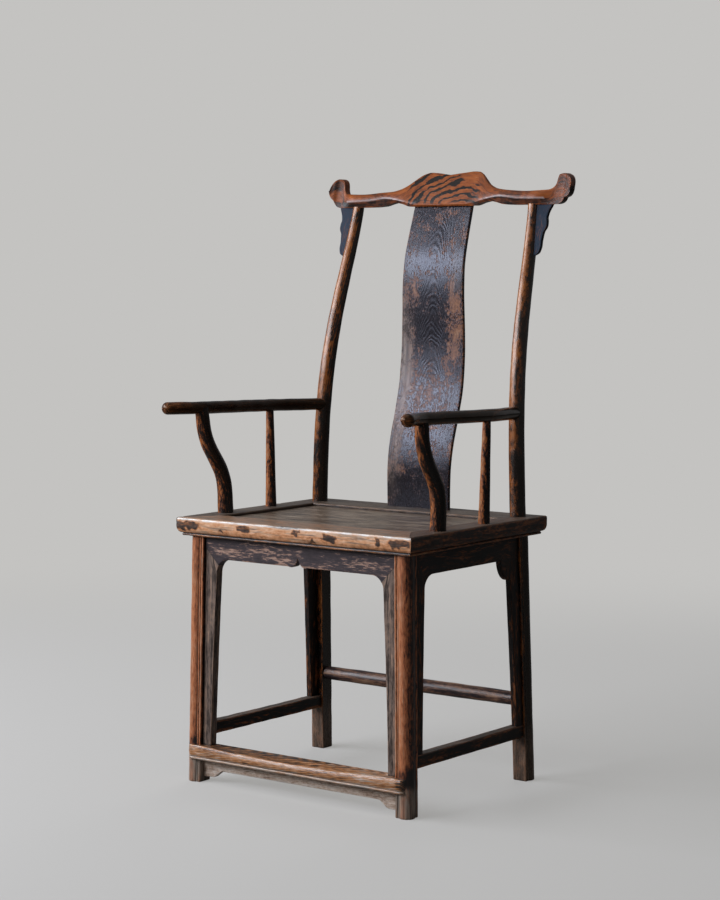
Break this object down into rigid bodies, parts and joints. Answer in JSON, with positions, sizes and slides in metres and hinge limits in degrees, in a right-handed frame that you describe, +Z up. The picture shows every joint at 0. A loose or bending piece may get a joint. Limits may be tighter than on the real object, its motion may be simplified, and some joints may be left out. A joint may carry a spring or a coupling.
{
  "type": "official hat armchair",
  "caption": "High yoke-back wooden armchair with an S-curved splat, carved crest, curved arms, framed seat, aprons and a low footrest.",
  "frame": {"origin": "centre of the bounding box in plan, on the floor", "axes": "+Z up, -Y to the front of the chair, +X to the right as seen from in front of it looking along +Y"},
  "size_m": [0.6104, 0.5626, 1.1937],
  "materials": {
    "brown_lacquer": "worn brown-black lacquer",
    "dark_lacquer": "blue-black lacquer",
    "worn_lacquer": "lacquer worn through to orange-brown wood",
    "rubbed_elm": "rubbed grey-brown wood"
  },
  "bodies": {
    "root": {"back_splat": "dark_lacquer", "crest_rail": "worn_lacquer", "footrest": "worn_lacquer", "footrest_apron": "worn_lacquer", "front_apron": "brown_lacquer", "left_arm_rail": "brown_lacquer", "left_front_leg": "worn_lacquer", "left_front_strip": "brown_lacquer", "left_gooseneck_post": "brown_lacquer", "left_rear_post": "brown_lacquer", "left_seat_batten": "rubbed_elm", "left_seat_side_rail": "rubbed_elm", "left_side_apron": "dark_lacquer", "left_side_front_strip": "dark_lacquer", "left_side_post": "brown_lacquer", "left_side_rear_strip": "dark_lacquer", "left_side_stretcher": "dark_lacquer", "left_spandrel": "dark_lacquer", "rear_apron": "dark_lacquer", "rear_stretcher": "dark_lacquer", "right_arm_rail": "brown_lacquer", "right_front_leg": "worn_lacquer", "right_front_strip": "brown_lacquer", "right_gooseneck_post": "brown_lacquer", "right_rear_post": "brown_lacquer", "right_seat_batten": "rubbed_elm", "right_seat_side_rail": "dark_lacquer", "right_side_apron": "dark_lacquer", "right_side_front_strip": "dark_lacquer", "right_side_post": "brown_lacquer", "right_side_rear_strip": "dark_lacquer", "right_side_stretcher": "dark_lacquer", "right_spandrel": "dark_lacquer", "seat_front_rail": "worn_lacquer", "seat_panel": "rubbed_elm", "seat_rear_rail": "rubbed_elm"}
  },
  "joints": []
}
